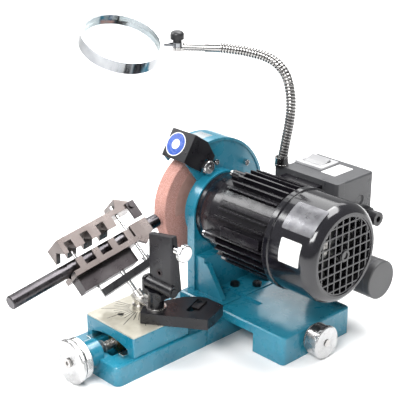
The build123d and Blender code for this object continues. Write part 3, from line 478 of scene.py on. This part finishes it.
# ---- gooseneck: wound steel strip round a tube ------------------------------------------------
NECK_POINTS = ((-21.9, 51, 172), (-16.5, 51, 201), (-12.8, 51.2, 219), (-9.7, 50.5, 240), (-11.8, 49.5, 261),
               (-17.6, 49, 275), (-28.2, 47.5, 285), (-41.6, 46, 290), (-57.7, 42.5, 292), (-76, 38, 293),
               (-98.5, 31, 292.4))
ROUND = 28  # sides of the tube
NECK_STEP, STRIP_PITCH = 0.4, 3.6  # along the tube: between sections, and between turns of the strip, mm
GROOVE_R, STRIP_RISE = 4.85, 0.75

curve = bpy.data.curves.new("neck_line", "CURVE")
curve.dimensions = "3D"
curve.resolution_u = 24
spline = curve.splines.new("NURBS")
spline.points.add(len(NECK_POINTS) - 1)
for point, place in zip(spline.points, NECK_POINTS):
    point.co = (*row(*place), 1)
spline.order_u = 3
spline.use_endpoint_u = True
line_object = bpy.data.objects.new("neck_line", curve)
bpy.context.scene.collection.objects.link(line_object)
line_mesh = bpy.data.meshes.new_from_object(line_object)
path = [v.co.copy() for v in line_mesh.vertices]
bpy.data.objects.remove(line_object)
bpy.data.meshes.remove(line_mesh)


def resample(points, step):
    """Evenly spaced points along a line."""
    out, spare = [points[0]], step
    for a, b in zip(points, points[1:]):
        run = (b - a).length
        while run >= spare:
            a = a + (b - a) * (spare / run)
            out.append(a)
            run = (b - a).length
            spare = step
        spare -= run
    return out


neck = resample(path, NECK_STEP / 1000)
verts, faces = [], []
side = Vector((0, 1, 0))
for k, place in enumerate(neck):
    ahead = (neck[min(k + 1, len(neck) - 1)] - neck[max(k - 1, 0)]).normalized()
    side = (side - ahead * side.dot(ahead)).normalized()
    other = ahead.cross(side)
    for j in range(ROUND):
        a = 2 * pi * j / ROUND
        wave = (k * NECK_STEP / STRIP_PITCH + j / ROUND) % 1.0
        ridge = 0.5 - 0.5 * cos(2 * pi * wave)
        reach = (GROOVE_R + STRIP_RISE * ridge ** 0.5) / 1000
        verts.append(place + (side * cos(a) + other * sin(a)) * reach)
for k in range(len(neck) - 1):
    for j in range(ROUND):
        m = (j + 1) % ROUND
        faces.append((k * ROUND + j, k * ROUND + m, (k + 1) * ROUND + m, (k + 1) * ROUND + j))
faces.append(tuple(range(ROUND - 1, -1, -1)))
faces.append(tuple((len(neck) - 1) * ROUND + j for j in range(ROUND)))
wound = piece("wound_neck", verts, faces, NECK, "carriage")
wound.data.shade_smooth()
# the faces in the grooves between turns take the darker metal: painted shade in the grooves
wound.data.materials.append(NECK_GROOVE_SHADE)
for face in wound.data.polygons[:(len(neck) - 1) * ROUND]:
    k, j = divmod(face.index, ROUND)
    if not 0.16 < (k * NECK_STEP / STRIP_PITCH + j / ROUND) % 1.0 < 0.84:
        face.material_index = 1
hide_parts("gooseneck")

# ---- engraved lines on the table, ticks on the dial, capacitor's rolled end --------------------
verts, faces = [], []


def strip(a, b, width, top, bottom):
    """Adds a thin flat bar from a to b, in the table's plane, to the piece being collected."""
    way = Vector((b[0] - a[0], b[1] - a[1])).normalized()
    off = Vector((-way.y, way.x)) * width / 2
    base = len(verts)
    for z in (top, bottom):
        for end, sign in ((a, 1), (b, 1), (b, -1), (a, -1)):
            verts.append(row(end[0] + off.x * sign, end[1] + off.y * sign, z))
    faces.extend([(base, base + 3, base + 2, base + 1), (base + 4, base + 5, base + 6, base + 7)])
    faces.extend([(base + k, base + (k + 1) % 4, base + 4 + (k + 1) % 4, base + 4 + k) for k in range(4)])


for k in range(13):
    a = radians(196 + 11 * k)
    long = 30.0 if k % 3 == 0 else 17.0
    ends = [(PIVOT[0] + r * cos(a), PIVOT[1] + r * sin(a)) for r in (PIVOT_R, PIVOT_R + long)]
    strip(*ends, 0.75, 46.03, 45.9)
piece("table_lines", verts, faces, ENGRAVING_AND_HOLE_SHADE, "table", smooth=False)

verts, faces = [], []
for k in range(50):
    a = 2 * pi * k / 50
    depth = 2.6 if k % 5 == 0 else 1.5
    base = len(verts)
    for r in (14.9, 15.06):
        for x, d in ((82.5, -0.011), (82.5 + depth, -0.011), (82.5 + depth, 0.011), (82.5, 0.011)):
            verts.append(row(x, CROSS_FEED[0] + r * cos(a + d), CROSS_FEED[1] + r * sin(a + d)))
    faces.extend([(base, base + 1, base + 2, base + 3), (base + 4, base + 7, base + 6, base + 5)])
    faces.extend([(base + n, base + 4 + n, base + 4 + (n + 1) % 4, base + (n + 1) % 4) for n in range(4)])
piece("dial_ticks", verts, faces, SIGN_WHITE, "cross_feed", smooth=False)


def lathe(name, profile, centre, look, body, steps=72):
    """A closed profile of (x, r) turned about a line along X."""
    verts, faces = [], []
    n = len(profile)
    for k in range(steps):
        a = 2 * pi * k / steps
        verts += [row(x, centre[0] + r * cos(a), centre[1] + r * sin(a)) for x, r in profile]
    for k in range(steps):
        m = (k + 1) % steps
        for j in range(n):
            i = (j + 1) % n
            faces.append((k * n + j, k * n + i, m * n + i, m * n + j))
    return piece(name, verts, faces, look, body)


lathe("capacitor_rim", [(104.4, 20.6), (105.9, 20.4), (106.0, 19.4), (105.9, 18.4), (104.4, 18.2)], CAPACITOR,
      CAP_GREY, "carriage")
lathe("capacitor_band", [(97.0, 21.9), (97.0, 22.25), (98.6, 22.25), (98.6, 21.9)], CAPACITOR, DARK_PLATE,
      "carriage")
lathe("box_knockout", [(60.05, 5.2), (60.4, 5.2), (60.4, 4.4), (60.05, 4.4)], KNOCKOUT, GREY, "carriage")

# ---- floor, lights, camera --------------------------------------------------------------------
floor_mesh = bpy.data.meshes.new("floor")
floor_mesh.from_pydata([(-4, -4, 0), (4, -4, 0), (4, 4, 0), (-4, 4, 0)], [], [(0, 1, 2, 3)])
floor = bpy.data.objects.new("floor", floor_mesh)
bpy.context.scene.collection.objects.link(floor)
floor_look = Shader("floor", 0.6)
floor_tones = floor_look.ramp(floor_look.noise(8, 3), ((0.3, (0.90, 0.90, 0.90)), (0.7, (0.93, 0.93, 0.93))))
floor_look.link(floor_tones, floor_look.bsdf.inputs["Base Color"])
floor_mesh.materials.append(floor_look.mat)

world = bpy.data.worlds.new("studio")
world.use_nodes = True
world.node_tree.nodes["Background"].inputs["Color"].default_value = (1.0, 1.0, 1.0, 1)
world.node_tree.nodes["Background"].inputs["Strength"].default_value = 0.42
bpy.context.scene.world = world


def lamp(name, place, size, energy, aim=(0.03, -0.03, 0.12)):
    """A soft rectangular light that faces the object."""
    data = bpy.data.lights.new(name, "AREA")
    data.shape = "RECTANGLE"
    data.size, data.size_y = size
    data.energy = energy
    made = bpy.data.objects.new(name, data)
    made.location = place
    made.rotation_euler = (Vector(aim) - Vector(place)).to_track_quat("-Z", "Y").to_euler()
    bpy.context.scene.collection.objects.link(made)


lamp("key", (0.45, -1.25, 1.25), (0.9, 0.6), 26)
lamp("side", (-1.1, -0.5, 1.1), (0.7, 0.6), 14)
lamp("top", (0.1, 0.5, 1.6), (1.4, 0.8), 34)
lamp("far", (-1.9, 1.8, 2.2), (3.0, 3.0), 75, aim=(-1.9, 1.8, 0.0))

camera = bpy.data.objects.new("camera", bpy.data.cameras.new("camera"))
camera.data.lens = 99.9
camera.data.sensor_width = 36
camera.location = (0.7965, -0.8148, 0.600)
camera.rotation_euler = (radians(90 - 22.2), 0, radians(46.2))
bpy.context.scene.collection.objects.link(camera)
bpy.context.scene.camera = camera
bpy.context.scene.view_settings.view_transform = "Standard"
